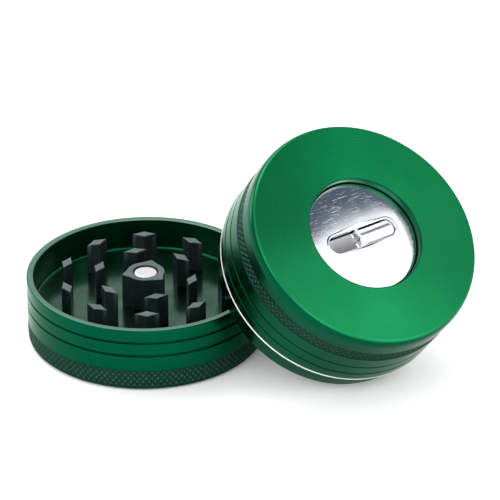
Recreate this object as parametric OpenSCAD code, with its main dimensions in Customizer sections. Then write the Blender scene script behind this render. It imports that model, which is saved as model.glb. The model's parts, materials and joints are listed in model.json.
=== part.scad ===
// Two-part hand grinder: an open toothed tray, and a lid that leans on the tray's rim.
// The origin is the centre of the tray's flat foot, and +Z is the tray's own axis.
// Each lid module is drawn about the lid's own axis, with its origin at the centre of
// the shoulder that the slip ring touches, and then placed by on_lid().

/* [Body] */
// Outside diameter of the tray and the lid
body_d = 60; // [58:0.5:64]
// Width of each turned groove
groove_w = 0.5; // [0.3:0.1:0.8]
// Depth of each turned groove
groove_depth = 0.4; // [0.2:0.1:0.6]
// First groove, measured from the open rim or the shoulder
groove_1 = 3.5; // [2.5:0.1:4]
// Second groove, measured the same way
groove_2 = 7.1; // [6:0.1:8]

/* [Tray] */
// Height of the tray
tray_h = 16.9; // [16:0.1:20]
// Height of the grinding floor above the foot
tray_floor = 8.6; // [7.6:0.1:9]
// Thickness of the rim's wall
rim_wall = 1.7; // [1.5:0.1:2]
// Height of the rounded foot edge
foot_round = 1.4; // [0.5:0.1:1.8]
// Radius of the fillet between the tray's wall and its floor
floor_fillet = 0.8; // [0.4:0.1:1]

/* [Teeth] */
// Length of a tooth around the circle
tooth_len = 6.2; // [5:0.1:6.6]
// Width of a tooth along the radius
tooth_w = 2.8; // [2.2:0.1:3]
// How far each side of a tooth is hollowed
tooth_hollow = 0.05; // [0:0.01:0.2]
// Outer ring of tray teeth: radius of its pitch circle
tray_outer_r = 20.8; // [20.4:0.1:21]
// Inner ring of tray teeth: radius of its pitch circle
tray_inner_r = 12.2; // [12:0.1:12.5]
// Top of the tray's teeth below the rim
tooth_drop = 0.2; // [0.1:0.1:1]
// Outer ring of lid teeth: radius of its pitch circle
lid_outer_r = 24.5; // [24.3:0.1:24.6]
// Middle ring of lid teeth: radius of its pitch circle
lid_middle_r = 16.4; // [16.2:0.1:16.6]
// Inner ring of lid teeth: radius of its pitch circle
lid_inner_r = 8.4; // [8.2:0.1:8.6]
// Length of the lid's teeth below the shoulder
lid_tooth_h = 8.4; // [7.4:0.1:8.4]

/* [Centre post] */
// Radius of the round part of the post
post_r = 4.8; // [4.4:0.1:5]
// Radius to the tips of its three fins
fin_r = 6.1; // [5.6:0.1:6.2]
// Height of the post's top above the foot
post_top = 17.2; // [16.9:0.1:17.3]

/* [Magnets] */
// Diameter of each disc magnet
magnet_d = 6; // [5:0.5:6]
// Thickness of each disc magnet
magnet_t = 3; // [2:0.5:4]
// How far the tray's magnet sits below the post's top
magnet_sink = 0.25; // [0.1:0.05:0.5]

/* [Lid] */
// Height of the lid from its shoulder to its face
lid_h = 20.4; // [19:0.1:23]
// Width along the radius of the rounding on the lid's outer edge
lid_edge_w = 1.1; // [0.6:0.1:2]
// Height along the lid's axis of the same rounding
lid_edge_h = 2.7; // [1:0.1:3.5]
// Length of the spigot that enters the tray
spigot_h = 7.1; // [6.5:0.1:7.2]
// Radial gap between the spigot and the tray's bore
spigot_gap = 0.12; // [0.1:0.02:0.3]
// Wall thickness of the spigot
spigot_wall = 1.8; // [1.5:0.1:1.9]
// Thickness of the floor between the storage well and the grinding space
well_floor = 4.2; // [4:0.1:5]
// Radius of the storage well
well_r = 13.2; // [12.6:0.1:13.4]

/* [Slip ring] */
// Thickness of the nylon slip ring
ring_t = 0.95; // [0.6:0.05:1]
// Running clearance between the slip ring and the lid
ring_gap = 0.06; // [0.05:0.01:0.1]

/* [Cover] */
// Diameter of the polished cover disc
cover_d = 29.12; // [28.8:0.02:29.2]
// Radial gap between the cover and its hole
cover_gap = 0.17; // [0.12:0.01:0.3]
// How far the cover lies below the lid's face
cover_sink = 1.8; // [1.2:0.1:2.4]
// Thickness of the cover disc
cover_t = 3.0; // [3:0.1:3.4]

/* [Lifting tab] */
// Length of the slot in the cover
slot_len = 19.6; // [19:0.1:20.5]
// Width of the slot in the cover
slot_w = 4.7; // [4.5:0.1:5]
// Gap between the tab and the slot
tab_gap = 0.28; // [0.25:0.01:0.35]
// Diameter of the pivot pin
pin_d = 1.4; // [1.2:0.1:1.5]
// Depth of the pin's axis below the cover's top
pin_depth = 1.7; // [1.5:0.1:1.8]
// Running clearance around the pin in the tab
pin_gap = 0.06; // [0.05:0.01:0.1]
// Depth of the press pad's top below the cover's top
pad_depth = 2.2; // [2:0.1:2.4]
// Inside depth of the cup below the cover's top
cup_depth = 8.6; // [8.6:0.1:9]
// Wall thickness of the cup
cup_wall = 0.6; // [0.5:0.1:0.8]

/* [Stored position] */
// Tilt of the lid's axis from vertical
lid_tilt = 38.8; // [38:0.1:39]
// Direction in which the lid's face looks, about +Z from +X
lid_turn = -53.7; // [-54:0.1:-53]
// Sideways place of the lid's shoulder centre
lid_x = 46.95; // [46.9:0.05:48]
// Front-to-back place of the lid's shoulder centre
lid_y = -9.75; // [-10:0.05:-9.7]
// Gap between the lid's lowest edge and the surface that the tray stands on
lid_rest_gap = 0.1; // [0.05:0.05:0.3]

/* [Hidden] */
$fn = 96;

green = [0.0, 0.34, 0.2];
silver = [0.85, 0.86, 0.88];
nickel = [0.75, 0.74, 0.74];
white = [0.92, 0.92, 0.9];

body_r = body_d / 2;
bore_r = body_r - rim_wall;
edge_break = 0.25;          // small bevel on sharp turned edges
cut = 1;                    // how far a cutting body runs past the face it opens

// Angles of the first tooth in each ring, and how many teeth each ring has
tray_outer_turn = 20.4;
tray_outer_n = 10;
tray_inner_turn = 43.9;
tray_inner_n = 6;
lid_outer_turn = 43;        // puts one tooth right over the tray's rim, where the lid leans
lid_outer_n = 8;
lid_middle_turn = 25;
lid_middle_n = 6;
lid_inner_turn = 50;
lid_inner_n = 3;
fin_turn = 76;
fin_n = 3;
fin_spread = 28;            // half the angle that a fin's root covers on the post
fin_root_sink = 0.5;        // how far the root's corners lie inside the round part
fin_root_r = post_r - fin_root_sink;
side_steps = 4;             // straight pieces along each hollowed side of a tooth
edge_steps = 10;            // cones that make up the rounding on the lid's outer edge

spigot_r = bore_r - spigot_gap;
spigot_bore_r = spigot_r - spigot_wall;
ring_inner_r = spigot_r + ring_gap;
ring_inset = 0.1;           // the ring's outside lies this far inside the body's
ring_outer_r = body_r - ring_inset;
magnet_r = magnet_d / 2;
tray_magnet_top = post_top - magnet_sink;
lid_magnet_proud = 0.3;     // the lid's magnet stands this far out of its ceiling

cover_r = cover_d / 2;
cover_top = lid_h - cover_sink;
cover_under = cover_top - cover_t;
ledge_gap = 0.05;           // the cover rests this far above its ledge
pin_r = pin_d / 2;
pin_z = cover_top - pin_depth;
pin_grip = 2.3;             // length of pin held in the cover on each side of the slot
pin_len = slot_w + 2 * pin_grip;
tab_w = slot_w - 2 * tab_gap;
tab_len = slot_len - 2 * tab_gap;
grip_start = -1.6;          // where the raised grip begins, across the pin
grip_rise = 0.45;           // the grip's far tip stands this far above the cover
grip_fall = -0.35;          // the grip's near end lies this far above the cover
pad_t = 1.0;                // thickness of the press pad

// The lid's lowest corner is the inner corner of the bevel on the spigot's end
lid_z = spigot_h * cos(lid_tilt) + (spigot_r - edge_break) * sin(lid_tilt) + lid_rest_gap;

// One side of a tooth from corner a to corner b, hollowed towards the middle
function tooth_side(a, b) = [
    for (i = [0 : side_steps - 1])
        let (t = i / side_steps, p = a + (b - a) * t)
            p * (1 - tooth_hollow * 4 * t * (1 - t))
];

module tooth(height) {
    tips = [[0, tooth_len / 2], [-tooth_w / 2, 0], [0, -tooth_len / 2], [tooth_w / 2, 0]];
    linear_extrude(height)
        polygon([for (k = [0 : 3]) each tooth_side(tips[k], tips[(k + 1) % 4])]);
}

module tooth_ring(pitch_r, count, first, height) {
    for (k = [0 : count - 1])
        rotate(first + k * 360 / count)
            translate([pitch_r, 0, 0])
                tooth(height);
}

// Ring-shaped cutter for one groove at height z on the outside of the body
module groove(z) {
    translate([0, 0, z - groove_w / 2])
        difference() {
            cylinder(r = body_r + cut, h = groove_w);
            translate([0, 0, -cut])
                cylinder(r = body_r - groove_depth, h = groove_w + 2 * cut);
        }
}

module stadium(length, width, height) {
    linear_extrude(height)
        union() {
            square([width, length - width], center = true);
            for (s = [-1, 1])
                translate([0, s * (length - width) / 2])
                    circle(d = width);
        }
}

module on_lid() {
    translate([lid_x, lid_y, lid_z])
        rotate([0, 0, lid_turn])
            rotate([0, lid_tilt, 0])
                children();
}

module tray_turning() {
    difference() {
        rotate_extrude()
            union() {
                square([body_r - foot_round, tray_h]);
                translate([0, foot_round])
                    square([body_r, tray_h - foot_round - edge_break]);
                translate([body_r - foot_round, foot_round])
                    circle(r = foot_round);
                polygon([[0, tray_h], [body_r - edge_break, tray_h],
                         [body_r, tray_h - edge_break], [0, tray_h - edge_break]]);
            }
        translate([0, 0, tray_floor])
            rotate_extrude()
                union() {
                    square([bore_r - floor_fillet, tray_h]);
                    translate([0, floor_fillet])
                        square([bore_r, tray_h]);
                    translate([bore_r - floor_fillet, floor_fillet])
                        circle(r = floor_fillet);
                }
        groove(tray_h - groove_1);
        groove(tray_h - groove_2);
    }
}

module centre_post() {
    linear_extrude(post_top - tray_floor + cut)
        union() {
            circle(r = post_r);
            for (k = [0 : fin_n - 1])
                rotate(fin_turn + k * 360 / fin_n)
                    polygon([[0, 0],
                             [fin_root_r * cos(fin_spread), -fin_root_r * sin(fin_spread)],
                             [fin_r, 0],
                             [fin_root_r * cos(fin_spread), fin_root_r * sin(fin_spread)]]);
        }
}

module tray() {
    tooth_root = tray_floor - cut;
    tooth_h = tray_h - tooth_drop - tooth_root;
    color(green)
        difference() {
            union() {
                tray_turning();
                translate([0, 0, tooth_root]) {
                    tooth_ring(tray_outer_r, tray_outer_n, tray_outer_turn, tooth_h);
                    tooth_ring(tray_inner_r, tray_inner_n, tray_inner_turn, tooth_h);
                    centre_post();
                }
            }
            translate([0, 0, tray_magnet_top - magnet_t])
                cylinder(r = magnet_r, h = magnet_t + cut);
        }
}

module tray_magnet() {
    color(nickel)
        translate([0, 0, tray_magnet_top - magnet_t])
            cylinder(r = magnet_r, h = magnet_t);
}

module slip_ring() {
    color(white)
        on_lid()
            translate([0, 0, -ring_gap - ring_t])
                difference() {
                    cylinder(r = ring_outer_r, h = ring_t);
                    translate([0, 0, -cut])
                        cylinder(r = ring_inner_r, h = ring_t + 2 * cut);
                }
}

// Quarter ellipse from the lid's side wall up to its face
function lid_edge() = [
    for (i = [0 : edge_steps])
        let (a = 90 * i / edge_steps)
            [body_r - lid_edge_w * (1 - cos(a)), lid_h - lid_edge_h * (1 - sin(a))]
];

module lid_turning() {
    difference() {
        rotate_extrude()
            union() {
                polygon(concat([[0, 0], [body_r, 0]], lid_edge(), [[0, lid_h]]));
                translate([0, -spigot_h + edge_break])
                    square([spigot_r, spigot_h]);
                polygon([[0, -spigot_h], [spigot_r - edge_break, -spigot_h],
                         [spigot_r, -spigot_h + edge_break], [0, -spigot_h + edge_break]]);
            }
        translate([0, 0, -spigot_h - cut])
            cylinder(r = spigot_bore_r, h = spigot_h + cut);
        translate([0, 0, cover_under - ledge_gap])
            cylinder(r = cover_r + cover_gap, h = lid_h);
        translate([0, 0, well_floor])
            cylinder(r = well_r, h = lid_h);
        groove(groove_1 - ring_t / 2);
        groove(groove_2 - ring_t / 2);
    }
}

module lid_shell() {
    color(green)
        on_lid()
            difference() {
                union() {
                    lid_turning();
                    translate([0, 0, -lid_tooth_h]) {
                        tooth_ring(lid_outer_r, lid_outer_n, lid_outer_turn, lid_tooth_h + cut);
                        tooth_ring(lid_middle_r, lid_middle_n, lid_middle_turn, lid_tooth_h + cut);
                        tooth_ring(lid_inner_r, lid_inner_n, lid_inner_turn, lid_tooth_h + cut);
                    }
                }
                translate([0, 0, -cut])
                    cylinder(r = magnet_r, h = magnet_t - lid_magnet_proud + cut);
            }
}

module lid_magnet() {
    color(nickel)
        on_lid()
            translate([0, 0, -lid_magnet_proud])
                cylinder(r = magnet_r, h = magnet_t);
}

module pin_axis(radius, length) {
    translate([-length / 2, 0, pin_z])
        rotate([0, 90, 0])
            cylinder(r = radius, h = length);
}

module cover_disc() {
    color(silver)
        on_lid()
            difference() {
                translate([0, 0, cover_under])
                    cylinder(r = cover_r, h = cover_t);
                translate([0, 0, cover_under - cut])
                    stadium(slot_len, slot_w, cover_t + 2 * cut);
                pin_axis(pin_r, pin_len);
            }
}

module tab_cup() {
    depth = cup_depth - cover_t;
    color(silver)
        on_lid()
            translate([0, 0, cover_under - depth])
                difference() {
                    translate([0, 0, -cup_wall])
                        stadium(slot_len + 2 * cup_wall, slot_w + 2 * cup_wall, depth + cup_wall);
                    stadium(slot_len, slot_w, depth + cut);
                }
}

module tab_pin() {
    color(nickel)
        on_lid()
            pin_axis(pin_r, pin_len);
}

// Half-round grip on one side of the pin, sunk press pad on the other
module lift_tab() {
    tip = tab_len / 2;
    grip_len = tip - grip_start;
    slope = atan2(grip_rise - grip_fall, grip_len);
    pad_top = cover_top - pad_depth;
    grip_axis_z = cover_top + grip_fall - tab_w / 2;
    color(silver)
        on_lid()
            difference() {
                union() {
                    intersection() {
                        translate([0, grip_start, grip_axis_z])
                            rotate([-90 + slope, 0, 0])
                                cylinder(d = tab_w, h = grip_len + tab_w);
                        translate([0, 0, pad_top - pad_t])
                            stadium(tab_len, tab_w, cover_t + pad_t);
                        translate([-tab_w, grip_start, pad_top - pad_t])
                            cube([2 * tab_w, grip_len + cut, cover_t + pad_t]);
                    }
                    translate([0, 0, pad_top - pad_t])
                        stadium(tab_len, tab_w, pad_t);
                }
                pin_axis(pin_r + pin_gap, slot_w + 2 * cut);
            }
}

tray();
tray_magnet();
slip_ring();
lid_shell();
lid_magnet();
cover_disc();
tab_cup();
tab_pin();
lift_tab();
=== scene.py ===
"""Visual model of a two-part hand grinder: toothed tray, and a lid leaning on its rim."""

import json
import math

import bmesh
import bpy
import numpy as np
from mathutils import Matrix, Vector


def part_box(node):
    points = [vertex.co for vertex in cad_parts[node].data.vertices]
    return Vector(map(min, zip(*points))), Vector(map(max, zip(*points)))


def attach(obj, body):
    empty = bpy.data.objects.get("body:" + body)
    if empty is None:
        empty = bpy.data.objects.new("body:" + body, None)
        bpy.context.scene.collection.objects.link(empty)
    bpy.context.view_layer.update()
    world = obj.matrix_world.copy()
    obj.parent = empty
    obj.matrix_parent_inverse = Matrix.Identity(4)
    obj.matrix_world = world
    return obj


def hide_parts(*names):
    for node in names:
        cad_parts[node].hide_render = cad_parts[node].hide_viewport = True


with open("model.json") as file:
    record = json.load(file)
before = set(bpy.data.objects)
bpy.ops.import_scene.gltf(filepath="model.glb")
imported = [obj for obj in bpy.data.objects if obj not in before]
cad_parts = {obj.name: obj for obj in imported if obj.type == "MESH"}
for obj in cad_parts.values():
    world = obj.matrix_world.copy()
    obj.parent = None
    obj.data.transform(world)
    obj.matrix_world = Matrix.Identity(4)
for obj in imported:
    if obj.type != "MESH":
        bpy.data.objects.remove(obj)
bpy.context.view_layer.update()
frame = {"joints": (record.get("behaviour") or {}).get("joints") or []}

MM = 0.001


# ---------------------------------------------------------------- frame values

def joint(name):
    return next(j for j in frame["joints"] if j["name"] == name)


def body_radius():
    low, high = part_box("tray")
    return (high.x - low.x) / 2


BODY_R = body_radius()
TRAY_TOP = 16.9 * MM            # rim; the post stands a little higher
POST_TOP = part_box("tray")[1].z
MAGNET_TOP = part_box("tray_magnet")[1].z

lid_axis = Vector(joint("lid_spin")["axis"]).normalized()
lid_centre = Vector(joint("lid_spin")["pos_m"])
pin_centre = Vector(joint("tab_flip")["pos_m"])
across_slot = Vector(joint("tab_flip")["axis"]).normalized()
along_slot = lid_axis.cross(across_slot)
LID_PLACE = Matrix.Translation(lid_centre) @ Matrix(
    (across_slot, along_slot, lid_axis)).transposed().to_4x4()
PIN_Z = (pin_centre - lid_centre).dot(lid_axis)

# Sizes that both halves share, in metres, as in the CAD model
BORE_R = BODY_R - 1.7 * MM
SPIGOT_R = BORE_R - 0.12 * MM
SPIGOT_BORE_R = SPIGOT_R - 1.8 * MM
SPIGOT_H = 7.1 * MM
RING_GAP = 0.06 * MM
RING_T = 0.95 * MM
GROOVE_1 = 3.5 * MM
GROOVE_2 = 7.1 * MM
GROOVE_W = 0.5 * MM
GROOVE_DEPTH = 0.4 * MM
TRAY_FLOOR = 8.6 * MM
LID_H = 20.4 * MM
LID_EDGE_W = 1.1 * MM
LID_EDGE_H = 2.7 * MM
COVER_TOP = PIN_Z + 1.7 * MM
COVER_T = 3.0 * MM
COVER_R = 14.56 * MM
COVER_HOLE_R = COVER_R + 0.17 * MM
WELL_R = 13.2 * MM
WELL_FLOOR = 4.2 * MM
MAGNET_R = 3.0 * MM
MAGNET_T = 3.0 * MM
LID_MAGNET_PROUD = 0.3 * MM
LID_TOOTH_H = 8.4 * MM
TOOTH_DROP = 0.2 * MM
TOOTH_SINK = 0.3 * MM           # how far the teeth and the post reach into the floor
SLOT_LEN = 19.6 * MM
SLOT_W = 4.7 * MM
TAB_GAP = 0.28 * MM
TAB_H = 3.2 * MM
CUP_DEPTH = 8.6 * MM
CUP_WALL = 0.6 * MM

# Knurl: diamonds around the body, their height, and how deep the grooves between them are
KNURL_COUNT = 252
KNURL_STEPS = 4                 # mesh columns per diamond
DIAMOND_H = 0.9 * MM
KNURL_DEPTH = 0.22 * MM
AROUND = KNURL_COUNT * KNURL_STEPS
KNURL_FROM_RIM = 11.3 * MM      # smooth band between the knurl and the joint, on both halves
LID_KNURL_TOP = 14.8 * MM
KNURL_MARGIN = 0.1 * MM         # plain strip that joins the knurl to the side


# ---------------------------------------------------------------- node helpers

class Nodes:
    """Short names for adding and joining shader nodes in one material."""

    def __init__(self, name):
        self.material = bpy.data.materials.new(name)
        self.material.use_nodes = True
        self.tree = self.material.node_tree
        self.shader = self.tree.nodes["Principled BSDF"]

    def add(self, kind, inputs=(), **settings):
        node = self.tree.nodes.new("ShaderNode" + kind)
        for key, value in settings.items():
            setattr(node, key, value)
        for key, value in dict(inputs).items():
            self.put(value, node.inputs[key])
        return node

    def put(self, value, socket):
        if isinstance(value, bpy.types.NodeSocket):
            self.tree.links.new(value, socket)
        else:
            socket.default_value = value

    def set(self, **values):
        for key, value in values.items():
            self.put(value, self.shader.inputs[key.replace("_", " ")])

    def math(self, operation, a, b=0.0, c=0.0):
        node = self.add("Math", {0: a, 1: b, 2: c}, operation=operation)
        return node.outputs[0]

    def position(self):
        """Position in the piece's own frame, from place_mesh."""
        return self.add("Attribute", attribute_name="own").outputs["Vector"]

    def noise(self, vector, scale, detail=3.0, roughness=0.5):
        node = self.add("TexNoise", {"Vector": vector, "Scale": scale, "Detail": detail,
                                     "Roughness": roughness})
        return node.outputs["Fac"]

    def axis_distance(self):
        """Distance from the piece's own Z axis."""
        flat = self.add("VectorMath", {0: self.position(), 1: (1.0, 1.0, 0.0)},
                        operation="MULTIPLY")
        return self.add("VectorMath", {0: flat.outputs[0]}, operation="LENGTH").outputs["Value"]

    def height(self):
        return self.add("SeparateXYZ", {0: self.position()}).outputs["Z"]

    def line_noise(self, coordinate, scale, detail=2.0):
        """Noise that changes only along one coordinate: turning lines."""
        node = self.add("TexNoise", {"W": coordinate, "Scale": scale, "Detail": detail},
                        noise_dimensions="1D")
        return node.outputs["Fac"]

    def remap(self, value, low, high, new_low, new_high):
        node = self.add("MapRange", {"Value": value, "From Min": low, "From Max": high,
                                     "To Min": new_low, "To Max": new_high})
        return node.outputs["Result"]

    def mix(self, factor, a, b):
        node = self.add("Mix", data_type="RGBA")
        self.put(factor, node.inputs[0])
        for socket, value in ((node.inputs[6], a), (node.inputs[7], b)):
            self.put(value, socket)
        return node.outputs[2]

    def bump(self, height, strength, distance):
        node = self.add("Bump", {"Height": height, "Strength": strength, "Distance": distance})
        self.put(node.outputs["Normal"], self.shader.inputs["Normal"])


def rgb(red, green, blue):
    return (red, green, blue, 1.0)


def anodised(name, colour, light, roughness, lines, line_scale, anisotropy, sealed):
    """Dyed oxide over turned aluminium. lines picks what the turning lines follow."""
    m = Nodes(name)
    along = {"radius": m.axis_distance, "height": m.height}[lines]()
    turning = m.line_noise(along, line_scale)
    blotch = m.noise(m.position(), 90.0)
    shade = m.math("MULTIPLY_ADD", turning, 0.35, m.math("MULTIPLY", blotch, 0.4))
    m.set(Base_Color=m.mix(m.remap(shade, 0.2, 0.6, 0.0, 1.0), colour, light), Metallic=1.0,
          Coat_Weight=sealed, Coat_Roughness=0.2, Anisotropic=anisotropy,
          Anisotropic_Rotation=0.25, Specular_Tint=rgb(0.75, 0.85, 0.8))
    m.set(Roughness=m.remap(turning, 0.2, 0.8, roughness * 0.85, roughness * 1.15))
    if anisotropy:
        around = m.add("Attribute", attribute_name="around").outputs["Vector"]
        tangent = m.add("VectorTransform", {"Vector": around}, vector_type="VECTOR",
                        convert_from="OBJECT", convert_to="WORLD")
        m.put(tangent.outputs[0], m.shader.inputs["Tangent"])
    m.bump(turning, 0.25, 0.00002)
    return m.material


def knurled(name, lit_crest_colour, shaded_valley_colour):
    """Crests lighter, partly as wear and partly as painted highlight; valleys dark as painted
    shade. The mesh holds the height of the knurl.
    """
    m = Nodes(name)
    crest = m.add("Attribute", attribute_name="crest").outputs["Fac"]
    wear = m.noise(m.position(), 900.0, 4.0)
    # Painted light: the dark colour sits in the valleys as painted shade, the light one on the
    # crests as painted highlight, broken up by wear noise.
    wear_and_painted_light = m.math("MULTIPLY", m.math("POWER", crest, 1.5), m.remap(wear, 0.3, 0.7, 0.25, 1.0))
    m.set(Base_Color=m.mix(wear_and_painted_light, shaded_valley_colour, lit_crest_colour), Metallic=1.0,
          Roughness=m.remap(wear, 0.3, 0.7, 0.3, 0.45), Specular_Tint=rgb(0.6, 0.7, 0.66))
    m.bump(wear, 0.2, 0.00002)
    return m.material


def milled(name, colour, light, metallic, roughness):
    """Milled inside of the grinder, in the colours given, with faint cutter marks."""
    m = Nodes(name)
    marks = m.noise(m.position(), 1400.0, 4.0)
    blotch = m.noise(m.position(), 160.0)
    m.set(Base_Color=m.mix(m.remap(blotch, 0.3, 0.7, 0.0, 1.0), colour, light),
          Metallic=metallic, Roughness=m.remap(marks, 0.3, 0.7, roughness, 1.5 * roughness))
    m.bump(marks, 0.15, 0.00002)
    return m.material


def polished(name, colour, roughness, scratches):
    """Bright metal with a crossing net of hairline scratches."""
    m = Nodes(name)
    total = None
    for turn, stretch in ((0.4, 34.0), (1.7, 22.0), (2.6, 28.0)):
        place = m.add("Mapping", {"Vector": m.position(), "Rotation": (0.0, 0.0, turn),
                                  "Scale": (stretch, 1.0, 1.0)})
        line = m.noise(place.outputs[0], 160.0, 5.0, 0.7)
        thin = m.remap(line, 0.62, 0.7, 0.0, 1.0)
        total = thin if total is None else m.math("MAXIMUM", total, thin)
    cloud = m.noise(m.position(), 220.0, 5.0, 0.6)
    m.set(Base_Color=m.mix(m.remap(cloud, 0.3, 0.7, 0.0, 1.0), colour,
                           rgb(*(0.9 * c for c in colour[:3]))),
          Metallic=1.0, Roughness=m.math("MULTIPLY_ADD", total, scratches,
                                         m.remap(cloud, 0.3, 0.7, roughness * 0.7, roughness)))
    m.bump(m.math("MULTIPLY_ADD", total, -0.6, m.math("MULTIPLY", cloud, 0.5)), 0.3, 0.00003)
    return m.material


def nylon(name):
    m = Nodes(name)
    grain = m.noise(m.position(), 1200.0)
    m.set(Base_Color=m.mix(grain, rgb(0.62, 0.65, 0.65), rgb(0.72, 0.74, 0.74)),
          Roughness=m.remap(grain, 0.3, 0.7, 0.35, 0.5), Subsurface_Weight=0.15,
          Subsurface_Scale=0.0005)
    m.bump(grain, 0.1, 0.00001)
    return m.material


FACE = anodised("anodised_face", rgb(0.001, 0.15, 0.047), rgb(0.006, 0.185, 0.06), 0.3,
                "radius", 5200.0, 0.8, 0.1)
# Painted shade: the side is the face's anodised finish given a much darker colour, so its
# reflections read dark.
SIDE = anodised("anodised_side_painted_shade", rgb(0.0, 0.058, 0.026), rgb(0.001, 0.072, 0.033), 0.2,
                "height", 3200.0, 0.3, 0.0)
# Painted highlight: the rim and foot get a lighter, greyer copy of the anodised finish for the
# highlight on the rim's rounded edge.
RIM = anodised("anodised_rim_painted_highlight", rgb(0.07, 0.15, 0.11), rgb(0.12, 0.2, 0.16), 0.28,
               "radius", 2600.0, 0.0, 0.0)
# Painted shade: the turned grooves get a near-black copy of the anodised finish for the shade
# inside them.
GROOVE = anodised("anodised_groove_painted_shade", rgb(0.0, 0.02, 0.009), rgb(0.0, 0.03, 0.014), 0.3,
                  "height", 4000.0, 0.0, 0.0)
KNURL = knurled("knurled_band_painted_light", rgb(0.065, 0.12, 0.095), rgb(0.004, 0.03, 0.018))
INSIDE = milled("milled_floor", rgb(0.0, 0.045, 0.023), rgb(0.05, 0.09, 0.07), 1.0, 0.14)
# Painted shade and reflection: the teeth and post get a dark grey copy of the milled finish as
# painted shade, and their tops a lighter grey one as a painted reflection of the bright room.
TEETH = milled("milled_teeth_painted_shade", rgb(0.018, 0.034, 0.034), rgb(0.04, 0.062, 0.06), 0.75, 0.28)
TOOTH_TOPS = milled("tooth_tops_painted_reflection", rgb(0.05, 0.075, 0.07), rgb(0.075, 0.105, 0.1), 0.6,
                    0.32)
WALL = milled("bored_wall", rgb(0.0, 0.06, 0.028), rgb(0.004, 0.085, 0.042), 0.9, 0.16)
SILVER = polished("polished_cover", rgb(0.8, 0.81, 0.83), 0.13, 0.12)
TAB_SILVER = polished("polished_tab", rgb(0.83, 0.84, 0.86), 0.22, 0.1)
# Painted shade: the rocker's sunk pad is the grip's silver given a dark grey, for the shade down
# in the slot.
SHADED_PAD_METAL = polished("pad_painted_shade", rgb(0.24, 0.24, 0.25), 0.4, 0.2)
CUP_METAL = polished("plain_cup", rgb(0.3, 0.31, 0.32), 0.45, 0.2)
NICKEL = polished("nickel_plate", rgb(0.6, 0.59, 0.59), 0.28, 0.3)
NYLON = nylon("white_nylon")


# ---------------------------------------------------------------- mesh helpers

def place_mesh(mesh, place):
    """Moves a mesh to its place. The materials still need each point's position in the
    piece's own frame and the direction around its own axis, so both are kept with the mesh."""
    own = np.empty(3 * len(mesh.vertices))
    mesh.vertices.foreach_get("co", own)
    own = own.reshape(-1, 3)
    around = np.stack([-own[:, 1], own[:, 0], np.zeros(len(own))], axis=1)
    around /= np.maximum(np.linalg.norm(around, axis=1, keepdims=True), 1e-9)
    around = around @ np.array(place.to_3x3()).T
    for key, vectors in (("own", own), ("around", around)):
        attribute = mesh.attributes.new(key, "FLOAT_VECTOR", "POINT")
        attribute.data.foreach_set("vector", vectors.ravel())
    mesh.transform(place)


def add_object(name, mesh, body, node, place=Matrix.Identity(4)):
    place_mesh(mesh, place)
    piece = bpy.data.objects.new(name, mesh)
    bpy.context.scene.collection.objects.link(piece)
    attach(piece, body)
    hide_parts(node)
    return piece


def corner(centre, radius, start, end, steps=6):
    """Points of an arc in (r, z), angles in degrees from +r towards +z."""
    points = []
    for i in range(steps + 1):
        a = math.radians(start + (end - start) * i / steps)
        points.append((centre[0] + radius * math.cos(a), centre[1] + radius * math.sin(a)))
    return points


class Profile:
    """Half section of a turned piece: points from the axis and back, with a material each."""

    def __init__(self):
        self.points = []
        self.kinds = []

    def to(self, points, kind):
        for p in points:
            if self.points and math.dist(p, self.points[-1]) < 1e-8:
                continue
            self.points.append(p)
            self.kinds.append(kind)
        return self

    def split(self, end, steps, kind):
        """A straight run to end, cut into short lengths."""
        start = self.points[-1]
        run = [(start[0] + (end[0] - start[0]) * i / steps,
                start[1] + (end[1] - start[1]) * i / steps) for i in range(1, steps + 1)]
        return self.to(run, kind)


def knurl_point(column, row, rows):
    """How far the surface is out, and how much of a crest it is, both 0 to 1."""
    u = column / KNURL_STEPS
    v = row / KNURL_STEPS
    a = (u + v) / 2 % 1
    b = (u - v) / 2 % 1
    crest = min(1 - abs(2 * a - 1), 1 - abs(2 * b - 1))
    depth = min(1.0, min(row, rows - row) / KNURL_STEPS * 2)
    return 1 - (1 - crest) * depth, crest * depth


def turned(name, profile, materials, segments, closed=False):
    """Turns a profile about Z. Points on the axis become one vertex."""
    mesh = bpy.data.meshes.new(name)
    vertices, crest, rows = [], [], []
    knurl_rows = [i for i, k in enumerate(profile.kinds) if k == "knurl"]
    angles = [2 * math.pi * i / segments for i in range(segments)]
    for i, (r, z) in enumerate(profile.points):
        if r < 1e-7:
            rows.append([len(vertices)])
            vertices.append((0.0, 0.0, z))
            crest.append(0.0)
            continue
        start = len(vertices)
        for column, a in enumerate(angles):
            out, top = 1.0, 0.0
            if i in knurl_rows:
                out, top = knurl_point(column, i - knurl_rows[0], len(knurl_rows) - 1)
            radius = r - KNURL_DEPTH * (1 - out)
            vertices.append((radius * math.cos(a), radius * math.sin(a), z))
            crest.append(top)
        rows.append(list(range(start, start + segments)))
    names = list(materials)
    faces, kinds = [], []
    pairs = list(zip(rows, rows[1:], profile.kinds[1:]))
    if closed:
        pairs.append((rows[-1], rows[0], profile.kinds[0]))
    for low, high, kind in pairs:
        for i in range(segments):
            j = (i + 1) % segments
            if len(low) == 1:
                faces.append((low[0], high[j], high[i]))
            elif len(high) == 1:
                faces.append((low[i], low[j], high[0]))
            else:
                faces.append((low[i], low[j], high[j], high[i]))
            kinds.append(names.index(kind))
    mesh.from_pydata(vertices, [], faces)
    for kind in names:
        mesh.materials.append(materials[kind])
    mesh.polygons.foreach_set("material_index", kinds)
    attribute = mesh.attributes.new("crest", "FLOAT", "POINT")
    attribute.data.foreach_set("value", crest)
    mesh.update()
    smooth_by_angle(mesh, 35)
    return mesh


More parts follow.
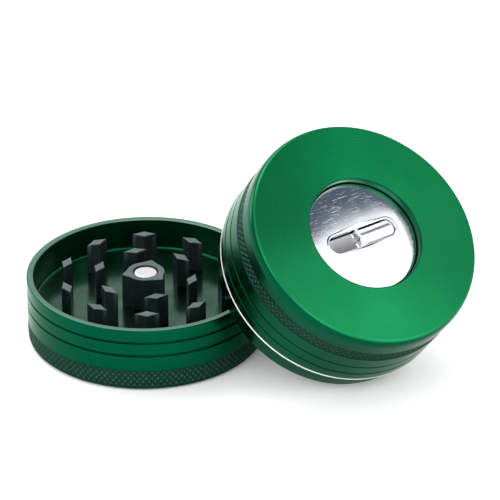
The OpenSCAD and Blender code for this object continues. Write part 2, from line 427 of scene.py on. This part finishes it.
def smooth_by_angle(mesh, degrees):
    """Smooth shading with creases where faces meet at more than the angle."""
    b = bmesh.new()
    b.from_mesh(mesh)
    limit = math.radians(degrees)
    for face in b.faces:
        face.smooth = True
    for edge in b.edges:
        edge.smooth = len(edge.link_faces) == 2 and edge.calc_face_angle(0.0) < limit
    b.to_mesh(mesh)
    b.free()
    mesh.update()


def groove_points(z):
    """One turned groove in the outside wall, from below: lip, rounded bottom, lip."""
    lip, half = 0.08 * MM, GROOVE_W / 2
    lower = [(0.0, half + lip), (lip, half), (GROOVE_DEPTH * 0.8, half * 0.8),
             (GROOVE_DEPTH, half * 0.3)]
    return ([(BODY_R - depth, z - off) for depth, off in lower]
            + [(BODY_R - depth, z + off) for depth, off in reversed(lower)])


def add_groove(profile, z):
    points = groove_points(z)
    profile.to(points[:2], "side").to(points[2:6], "groove").to(points[6:], "side")


def tooth_outline(steps=5):
    """A diamond with its sides hollowed by the cutter."""
    length, width, hollow = 6.2 * MM, 2.8 * MM, 0.05
    tips = [(0, length / 2), (-width / 2, 0), (0, -length / 2), (width / 2, 0)]
    points = []
    for k in range(4):
        ax, ay = tips[k]
        bx, by = tips[(k + 1) % 4]
        for i in range(steps):
            t = i / steps
            pull = 1 - hollow * 4 * t * (1 - t)
            points.append(((ax + (bx - ax) * t) * pull, (ay + (by - ay) * t) * pull))
    return points


def inset(points, amount):
    """The outline moved inwards along its own normals."""
    moved = []
    for i, p in enumerate(points):
        before, after = points[i - 1], points[(i + 1) % len(points)]
        dx, dy = after[0] - before[0], after[1] - before[1]
        length = math.hypot(dx, dy) or 1.0
        moved.append((p[0] - dy / length * amount, p[1] + dx / length * amount))
    return moved


def prism(b, outline, low, high, bevel, kind_side, kind_top):
    """A closed upright prism whose end at high has a small bevel."""
    up = 1 if high > low else -1
    small = inset(outline, bevel)
    levels = [(outline, low), (outline, high - up * bevel), (small, high)]
    rings = [[b.verts.new((x, y, z)) for x, y in points] for points, z in levels]
    count = len(outline)
    for below, above in zip(rings, rings[1:]):
        for i in range(count):
            j = (i + 1) % count
            quad = [below[i], below[j], above[j], above[i]]
            b.faces.new(quad if up > 0 else quad[::-1]).material_index = kind_side
    b.faces.new(rings[-1] if up > 0 else rings[-1][::-1]).material_index = kind_top
    b.faces.new(rings[0][::-1] if up > 0 else rings[0]).material_index = kind_side


def tooth_ring(b, pitch_r, count, first, low, high, bevel=0.12 * MM):
    outline = tooth_outline()
    for k in range(count):
        a = math.radians(first + k * 360 / count)
        ca, sa = math.cos(a), math.sin(a)
        placed = [((pitch_r + x) * ca - y * sa, (pitch_r + x) * sa + y * ca)
                  for x, y in outline]
        # Material 1 on the tops is their lighter colour, a painted reflection.
        prism(b, placed, low, high, bevel, 0, 1)


def finished(b, name, materials, degrees=35):
    mesh = bpy.data.meshes.new(name)
    bmesh.ops.recalc_face_normals(b, faces=b.faces)
    b.to_mesh(mesh)
    b.free()
    for material in materials:
        mesh.materials.append(material)
    smooth_by_angle(mesh, degrees)
    return mesh


# ---------------------------------------------------------------- the pieces

def tray_body():
    foot, rim_edge, fillet = 1.4 * MM, 0.25 * MM, 0.8 * MM
    knurl_top = TRAY_TOP - KNURL_FROM_RIM
    rows = round((knurl_top - foot) / DIAMOND_H * KNURL_STEPS)
    knurled_turn = math.degrees(DIAMOND_H / foot)
    p = Profile()
    p.to([(0, 0)], "foot")
    p.to([(BODY_R * 0.5, 0), (BODY_R - 2.2 * foot, 0)], "foot")
    p.to(corner((BODY_R - foot, foot), foot, -90, -knurled_turn, 5), "side")
    p.to(corner((BODY_R - foot, foot), foot, -knurled_turn, 0, KNURL_STEPS), "knurl")
    p.to([(BODY_R, foot + (knurl_top - foot) * i / rows) for i in range(rows + 1)], "knurl")
    p.to([(BODY_R, knurl_top + KNURL_MARGIN)], "side")
    for z in (TRAY_TOP - GROOVE_2, TRAY_TOP - GROOVE_1):
        add_groove(p, z)
    p.to(corner((BODY_R - rim_edge, TRAY_TOP - rim_edge), rim_edge, 0, 90, 5), "side")
    p.to(corner((BORE_R + rim_edge, TRAY_TOP - rim_edge), rim_edge, 90, 180, 5), "rim")
    p.to([(BORE_R, TRAY_FLOOR + fillet)], "wall")
    p.to(corner((BORE_R - fillet, TRAY_FLOOR + fillet), fillet, 0, -90, 6), "wall")
    p.to([(20 * MM, TRAY_FLOOR), (8 * MM, TRAY_FLOOR), (0, TRAY_FLOOR)], "floor")
    mesh = turned("tray_body", p, {"foot": RIM, "side": SIDE, "knurl": KNURL, "groove": GROOVE,
                                   "rim": RIM, "wall": WALL, "floor": INSIDE}, AROUND)
    add_object("tray_body", mesh, "base", "tray")


def tray_teeth():
    b = bmesh.new()
    low, high = TRAY_FLOOR - TOOTH_SINK, TRAY_TOP - TOOTH_DROP
    tooth_ring(b, 20.8 * MM, 10, 20.4, low, high)
    tooth_ring(b, 12.2 * MM, 6, 43.9, low, high)
    mesh = finished(b, "tray_teeth", [TEETH, TOOTH_TOPS])
    add_object("tray_teeth", mesh, "base", "tray")


def post_radius(angle):
    """Outline of the centre post: round, with three hollow-sided fins."""
    post_r, fin_r, fin_turn, spread = 4.8 * MM, 6.1 * MM, 76.0, 30.0
    off = abs((angle - fin_turn + 60) % 120 - 60)
    t = max(0.0, 1 - off / spread)
    return post_r + (fin_r - post_r) * t ** 1.7


def centre_post():
    b = bmesh.new()
    steps, bevel = 180, 0.12 * MM
    outline = []
    for i in range(steps):
        angle = i * 360 / steps
        r = post_radius(angle)
        outline.append((r * math.cos(math.radians(angle)), r * math.sin(math.radians(angle))))
    small = inset(outline, bevel)
    pocket_r, pocket_depth = MAGNET_R + 0.14 * MM, 0.9 * MM
    circle = [(math.cos(2 * math.pi * i / steps), math.sin(2 * math.pi * i / steps))
              for i in range(steps)]
    levels = [(outline, TRAY_FLOOR - TOOTH_SINK), (outline, POST_TOP - bevel), (small, POST_TOP),
              ([(x * (pocket_r + bevel), y * (pocket_r + bevel)) for x, y in circle], POST_TOP),
              ([(x * pocket_r, y * pocket_r) for x, y in circle], POST_TOP - bevel),
              ([(x * pocket_r, y * pocket_r) for x, y in circle], POST_TOP - pocket_depth)]
    rings = [[b.verts.new((x, y, z)) for x, y in points] for points, z in levels]
    for level, (below, above) in enumerate(zip(rings, rings[1:])):
        for i in range(steps):
            j = (i + 1) % steps
            quad = b.faces.new([below[i], below[j], above[j], above[i]])
            # The top band takes the tops' lighter colour, a painted reflection.
            quad.material_index = int(level == 2)
    b.faces.new(rings[-1])
    b.faces.new(rings[0][::-1])
    mesh = finished(b, "centre_post", [TEETH, TOOTH_TOPS])
    add_object("centre_post", mesh, "base", "tray")


def magnet(name, body, node, low, high, place=Matrix.Identity(4)):
    """A plated disc with rounded edges, slightly dished on its upper face."""
    radius, edge = MAGNET_R - 0.08 * MM, 0.3 * MM
    p = Profile()
    p.to([(0, low), (radius * 0.6, low)], "plate")
    p.to(corner((radius - edge, low + edge), edge, -90, 0, 5), "plate")
    p.to(corner((radius - edge, high - edge), edge, 0, 90, 5), "plate")
    p.to([(radius * 0.6, high - 0.02 * MM), (0, high - 0.03 * MM)], "plate")
    mesh = turned(name, p, {"plate": NICKEL}, 96)
    add_object(name, mesh, body, node, place)


def slip_ring():
    """The nylon ring under the lid's shoulder, drawn thinner than its CAD node."""
    inset_r, shown_part, edge = 0.1 * MM, 0.6, 0.16 * MM
    outer, inner = BODY_R - inset_r, SPIGOT_R + RING_GAP
    high = -RING_GAP
    low = high - shown_part * RING_T
    p = Profile()
    p.to(corner((outer - edge, low + edge), edge, -90, 0, 5), "nylon")
    p.to(corner((outer - edge, high - edge), edge, 0, 90, 5), "nylon")
    p.to([(inner, high), (inner, low)], "nylon")
    mesh = turned("nylon_ring", p, {"nylon": NYLON}, 288, closed=True)
    add_object("nylon_ring", mesh, "ring", "slip_ring", LID_PLACE)


def lid_body():
    edge, hole_edge = 0.25 * MM, 0.3 * MM
    flat_start = 0.04 * MM              # keeps the shading of the face flat up to its edges
    faced_from = 0.9                    # share of the edge's height above which it is faced
    knurl_low, knurl_high = KNURL_FROM_RIM - RING_T / 2, LID_KNURL_TOP
    rows = round((knurl_high - knurl_low) / DIAMOND_H * KNURL_STEPS)
    p = Profile()
    p.to([(0, 0), (8 * MM, 0), (SPIGOT_BORE_R, 0)], "ceiling")
    p.to(corner((SPIGOT_BORE_R + edge, -SPIGOT_H + edge), edge, 180, 270, 4), "wall")
    p.to(corner((SPIGOT_R - edge, -SPIGOT_H + edge), edge, -90, 0, 4), "side")
    p.to([(SPIGOT_R, 0)], "side")
    p.to(corner((BODY_R - edge, edge), edge, -90, 0, 4), "side")
    for z in (GROOVE_1 - RING_T / 2, GROOVE_2 - RING_T / 2):
        add_groove(p, z)
    p.to([(BODY_R, knurl_low - KNURL_MARGIN)], "side")
    p.to([(BODY_R, knurl_low + (knurl_high - knurl_low) * i / rows)
          for i in range(rows + 1)], "knurl")
    p.to([(BODY_R, knurl_high + KNURL_MARGIN)], "side")
    for x, z in corner((0, 0), 1.0, 0, 90, 18):
        p.to([(BODY_R - LID_EDGE_W * (1 - x), LID_H - LID_EDGE_H * (1 - z))],
             "face" if z > faced_from else "side")
    p.to([(BODY_R - LID_EDGE_W - flat_start, LID_H)], "face")
    p.split((COVER_HOLE_R + hole_edge + flat_start, LID_H), 6, "face")
    p.to(corner((COVER_HOLE_R + hole_edge, LID_H - hole_edge), hole_edge, 90, 180, 4), "side")
    ledge = COVER_TOP - COVER_T - 0.05 * MM
    p.to([(COVER_HOLE_R, ledge), (WELL_R, ledge), (WELL_R, WELL_FLOOR), (0, WELL_FLOOR)],
         "wall")
    mesh = turned("lid_body", p, {"ceiling": INSIDE, "wall": WALL, "side": SIDE,
                                  "groove": GROOVE, "knurl": KNURL, "face": FACE}, AROUND)
    add_object("lid_body", mesh, "lid", "lid_shell", LID_PLACE)


def lid_teeth():
    b = bmesh.new()
    low, high = TOOTH_SINK, -LID_TOOTH_H
    for pitch_r, count, first in ((24.5, 8, 43), (16.4, 6, 25), (8.4, 3, 50)):
        tooth_ring(b, pitch_r * MM, count, first, low, high)
    mesh = finished(b, "lid_teeth", [TEETH, TOOTH_TOPS])
    add_object("lid_teeth", mesh, "lid", "lid_shell", LID_PLACE)


def stadium(length, width, count):
    """Closed outline of a slot along Y, with the points evenly spaced in angle."""
    straight = (length - width) / 2
    radius = width / 2
    points = []
    for i in range(count):
        a = 2 * math.pi * i / count
        dx, dy = math.cos(a), math.sin(a)
        if abs(dx) > 1e-9 and abs(dy / dx * radius) <= straight:
            points.append((math.copysign(radius, dx), dy / abs(dx) * radius))
            continue
        cy = math.copysign(straight, dy)
        # where the ray from the centre leaves the end's round part
        along = dy * cy + math.sqrt(max(0.0, radius ** 2 - (dx * cy) ** 2))
        points.append((along * dx, along * dy))
    return points


def skin(b, rings, kind=0):
    """Quads between each ring of points and the next, as a closed tube."""
    rows = [[b.verts.new(p) for p in ring] for ring in rings]
    count = len(rows[0])
    for below, above in zip(rows, rows[1:]):
        for i in range(count):
            j = (i + 1) % count
            b.faces.new([below[i], below[j], above[j], above[i]]).material_index = kind
    return rows


def cover_disc():
    """A polished plug: gently crowned top, rolled edges, and the slot through it."""
    b = bmesh.new()
    count, top_rings = 288, 16
    outer_edge, slot_edge, crown = 0.35 * MM, 0.3 * MM, 0.3 * MM
    # Shares of the crown's fall: beside the slot, gently over the disc, and near the rim
    near_slot, over_disc, near_rim = 0.12, 0.44, 0.44
    top, low = COVER_TOP, COVER_TOP - COVER_T
    slot = stadium(SLOT_LEN, SLOT_W, count)
    circle = [(math.cos(2 * math.pi * i / count), math.sin(2 * math.pi * i / count))
              for i in range(count)]

    def grown_slot(amount, z):
        grown = stadium(SLOT_LEN + 2 * amount, SLOT_W + 2 * amount, count)
        return [(x, y, z) for x, y in grown]

    def ring(radius, z):
        return [(x * radius, y * radius, z) for x, y in circle]

    rings = [[(x, y, low) for x, y in slot], [(x, y, top - slot_edge - crown) for x, y in slot]]
    for i in range(1, 5):
        a = math.radians(90 * i / 4)
        rings.append(grown_slot(slot_edge * (1 - math.cos(a)),
                                top - crown * near_slot - slot_edge * (1 - math.sin(a))))
    rim_r = COVER_R - outer_edge
    inner = rings[-1]
    for k in range(1, top_rings + 1):
        t = k / top_rings
        row = []
        for (x, y, z), (cx, cy) in zip(inner, circle):
            px, py = x + (cx * rim_r - x) * t, y + (cy * rim_r - y) * t
            share = math.hypot(px, py) / rim_r
            fall = near_slot + over_disc * share ** 2 + near_rim * share ** 8
            row.append((px, py, top - crown * fall))
        rings.append(row)
    for i in range(1, 5):
        a = math.radians(90 * i / 4)
        rings.append(ring(rim_r + outer_edge * math.sin(a),
                          top - crown - outer_edge * (1 - math.cos(a))))
    rings.append(ring(COVER_R, low))
    rows = skin(b, rings)
    for i in range(count):
        j = (i + 1) % count
        b.faces.new([rows[-1][i], rows[-1][j], rows[0][j], rows[0][i]])
    mesh = finished(b, "cover_plug", [SILVER])
    add_object("cover_plug", mesh, "cover", "cover_disc", LID_PLACE)


def tab_cup():
    b = bmesh.new()
    count, lip = 160, 0.12 * MM
    top, floor = COVER_TOP - COVER_T, COVER_TOP - CUP_DEPTH
    levels = ((0.0, floor), (0.0, top - lip), (lip, top), (CUP_WALL - lip, top),
              (CUP_WALL, top - lip), (CUP_WALL, floor - CUP_WALL + lip),
              (CUP_WALL - lip, floor - CUP_WALL))
    rings = [[(x, y, z) for x, y in stadium(SLOT_LEN + 2 * g, SLOT_W + 2 * g, count)]
             for g, z in levels]
    rows = skin(b, rings)
    b.faces.new(rows[0])
    b.faces.new(rows[-1][::-1])
    mesh = finished(b, "slot_cup", [CUP_METAL])
    add_object("slot_cup", mesh, "cover", "tab_cup", LID_PLACE)


def pivot_pin():
    half = SLOT_W / 2 + 2.3 * MM
    radius, edge = 0.7 * MM, 0.15 * MM
    p = Profile()
    p.to([(0, -half), (radius - edge, -half), (radius, -half + edge)], "pin")
    p.split((radius, half - edge), 6, "pin")
    p.to([(radius - edge, half), (0, half)], "pin")
    mesh = turned("pivot_pin", p, {"pin": NICKEL}, 48)
    place = LID_PLACE @ Matrix.Translation((0, 0, PIN_Z)) @ Matrix.Rotation(
        math.pi / 2, 4, "Y")
    add_object("pivot_pin", mesh, "cover", "tab_pin", place)


def smoothstep(t):
    t = min(1.0, max(0.0, t))
    return t * t * (3 - 2 * t)


def tab_surface(x, y, radius, half_length):
    """Height of the tab's top above the lid's shoulder: grip beyond the pin, pad before it."""
    grip_start, rise, fall, side_drop = -1.6 * MM, 0.45 * MM, -0.35 * MM, 1.1 * MM
    nose_len, nose_drop, nose_power = 1.6 * MM, 0.55 * MM, 2.5
    pad_drop, pad_dish, step_len = 2.2 * MM, 0.12 * MM, 0.9 * MM
    notch_depth, notch_half = 0.55 * MM, 0.7 * MM
    along = (y - grip_start) / (half_length - grip_start)
    crest = COVER_TOP + fall + (rise - fall) * along
    nose = max(0.0, (y - (half_length - nose_len)) / nose_len)
    crest -= nose_drop * nose ** nose_power
    grip = crest - side_drop * (1 - math.sqrt(max(0.0, 1 - (x / radius) ** 2)))
    pad = COVER_TOP - pad_drop + pad_dish * (x / radius) ** 2
    notch = notch_depth * max(0.0, 1 - abs(x) / notch_half)
    step = smoothstep((y - notch - grip_start) / step_len)
    return pad + (grip - pad) * step


def lift_tab():
    """One solid rocker. The pin's bore is left out, as it is hidden."""
    b = bmesh.new()
    radius = SLOT_W / 2 - TAB_GAP
    half_length = SLOT_LEN / 2 - TAB_GAP
    straight = half_length - radius
    bottom = COVER_TOP - TAB_H
    least_thickness = 0.2 * MM
    rows, columns = 120, 28
    # Top faces below this height take the pad's dark grey, painted shade on the sunk half.
    shaded_below = COVER_TOP - 1.9 * MM
    tops, bottoms = [], []
    for i in range(rows + 1):
        y = -half_length * math.cos(math.pi * i / rows)
        beyond = max(0.0, abs(y) - straight)
        width = math.sqrt(max(0.0, radius ** 2 - beyond ** 2))
        top_row, bottom_row = [], []
        for k in range(columns + 1):
            x = -width * math.cos(math.pi * k / columns)
            z = tab_surface(x, y, radius, half_length)
            top_row.append(b.verts.new((x, y, max(z, bottom + least_thickness))))
            bottom_row.append(b.verts.new((x, y, bottom)))
        tops.append(top_row)
        bottoms.append(bottom_row)
    for i in range(rows):
        for k in range(columns):
            top = b.faces.new([tops[i][k], tops[i][k + 1], tops[i + 1][k + 1],
                               tops[i + 1][k]])
            top.material_index = int(top.calc_center_median().z < shaded_below)
            b.faces.new([bottoms[i][k], bottoms[i + 1][k], bottoms[i + 1][k + 1],
                         bottoms[i][k + 1]])
        for k in (0, columns):
            quad = [tops[i][k], tops[i + 1][k], bottoms[i + 1][k], bottoms[i][k]]
            b.faces.new(quad if k == 0 else quad[::-1])
    for i in (0, rows):
        for k in range(columns):
            quad = [tops[i][k], bottoms[i][k], bottoms[i][k + 1], tops[i][k + 1]]
            b.faces.new(quad if i == 0 else quad[::-1])
    bmesh.ops.remove_doubles(b, verts=b.verts, dist=1e-6)
    mesh = finished(b, "grip_tab", [TAB_SILVER, SHADED_PAD_METAL], 50)
    add_object("grip_tab", mesh, "tab", "lift_tab", LID_PLACE)


# ---------------------------------------------------------------- the set

CAMERA_PLACE = (0.0263, -0.7583, 0.4355)
CAMERA_LENS = 247.6
CAMERA_DOWN = 28.53             # degrees below the horizon


def camera():
    data = bpy.data.cameras.new("camera")
    data.sensor_width = 36.0
    data.lens = CAMERA_LENS
    data.clip_start, data.clip_end = 0.05, 20.0
    cam = bpy.data.objects.new("camera", data)
    cam.location = CAMERA_PLACE
    cam.rotation_euler = (math.radians(90 - CAMERA_DOWN), 0.0, 0.0)
    bpy.context.scene.collection.objects.link(cam)
    bpy.context.scene.camera = cam


def softbox(name, location, target, across, width, height, radiance):
    """A light the camera does not see: width runs along across, and it faces the target."""
    data = bpy.data.lights.new(name, "AREA")
    data.shape = "RECTANGLE"
    data.size, data.size_y = width, height
    data.energy = radiance * math.pi * width * height
    back = (location - target).normalized()
    up = back.cross(across).normalized()
    lamp = bpy.data.objects.new(name, data)
    lamp.matrix_world = Matrix.Translation(location) @ Matrix(
        (up.cross(back), up, back)).transposed().to_4x4()
    lamp.visible_camera = False
    bpy.context.scene.collection.objects.link(lamp)


# Parts of the studio around the object: azimuth and elevation of the centre, inner and
# outer radius of its soft edge, all in degrees, and its light
STUDIO = ((14, 57, 9, 20, (0.09, 0.12, 0.17)),
          (-24, 34, 5, 13, (4.5, 4.5, 4.5)),
          (-80, 27, 12, 24, (3.6, 3.6, 3.6)),
          (-112, 3, 8, 18, (0.12, 0.12, 0.12)),
          (-140, 40, 8, 20, (3.0, 3.0, 3.0)),
          (121, 54, 12, 26, (4.0, 4.0, 4.0)),
          (145, 10, 7, 14, (4.5, 4.5, 4.5)))
STUDIO_WHITE = (1.3, 1.3, 1.3)

# The softbox in front of the lid's face: its centre in the lid's own frame, size and light
SOFTBOX_AT = Vector((0.026, 0.072, 0.166))
SOFTBOX_SIZE = (0.156, 0.104)
SOFTBOX_LIGHT = 1.6


def toward(azimuth, elevation):
    a, e = math.radians(azimuth), math.radians(elevation)
    return Vector((math.cos(e) * math.cos(a), math.cos(e) * math.sin(a), math.sin(e)))


def studio_world():
    """White room with softboxes and a dark patch of ceiling."""
    world = bpy.data.worlds.new("studio")
    bpy.context.scene.world = world
    world.use_nodes = True
    tree = world.node_tree
    coordinate = tree.nodes.new("ShaderNodeTexCoord")
    shade = tree.nodes.new("ShaderNodeRGB").outputs[0]
    shade.default_value = rgb(*STUDIO_WHITE)
    for azimuth, elevation, inner, outer, light in STUDIO:
        dot = tree.nodes.new("ShaderNodeVectorMath")
        dot.operation = "DOT_PRODUCT"
        dot.inputs[1].default_value = toward(azimuth, elevation)
        tree.links.new(coordinate.outputs["Generated"], dot.inputs[0])
        edge = tree.nodes.new("ShaderNodeMapRange")
        edge.interpolation_type = "SMOOTHSTEP"
        edge.inputs["From Min"].default_value = math.cos(math.radians(outer))
        edge.inputs["From Max"].default_value = math.cos(math.radians(inner))
        tree.links.new(dot.outputs["Value"], edge.inputs["Value"])
        mix = tree.nodes.new("ShaderNodeMix")
        mix.data_type = "RGBA"
        mix.inputs[7].default_value = rgb(*light)
        tree.links.new(shade, mix.inputs[6])
        tree.links.new(edge.outputs["Result"], mix.inputs[0])
        shade = mix.outputs[2]
    tree.links.new(shade, tree.nodes["Background"].inputs["Color"])


def floor():
    """Pale ground a hair below the foot, so the two do not share a plane."""
    floor_drop = 0.05 * MM
    m = Nodes("pale_floor")
    grain = m.noise(m.position(), 30.0)
    m.set(Base_Color=m.mix(grain, rgb(0.96, 0.96, 0.96), rgb(0.98, 0.98, 0.98)), Roughness=0.7)
    b = bmesh.new()
    bmesh.ops.create_grid(b, x_segments=8, y_segments=8, size=3.0)
    mesh = finished(b, "floor", [m.material])
    place_mesh(mesh, Matrix.Translation((0.0, 0.0, -floor_drop)))
    plane = bpy.data.objects.new("floor", mesh)
    bpy.context.scene.collection.objects.link(plane)


camera()
tray_body()
tray_teeth()
centre_post()
magnet("post_magnet", "base", "tray_magnet", MAGNET_TOP - MAGNET_T, MAGNET_TOP)
slip_ring()
lid_body()
lid_teeth()
magnet("ceiling_magnet", "lid", "lid_magnet", -LID_MAGNET_PROUD, MAGNET_T - LID_MAGNET_PROUD,
       LID_PLACE)
cover_disc()
tab_cup()
pivot_pin()
lift_tab()

floor()
studio_world()
softbox("lid_softbox", LID_PLACE @ SOFTBOX_AT, lid_centre, across_slot, *SOFTBOX_SIZE,
        SOFTBOX_LIGHT)
bpy.context.scene.view_settings.view_transform = "Standard"
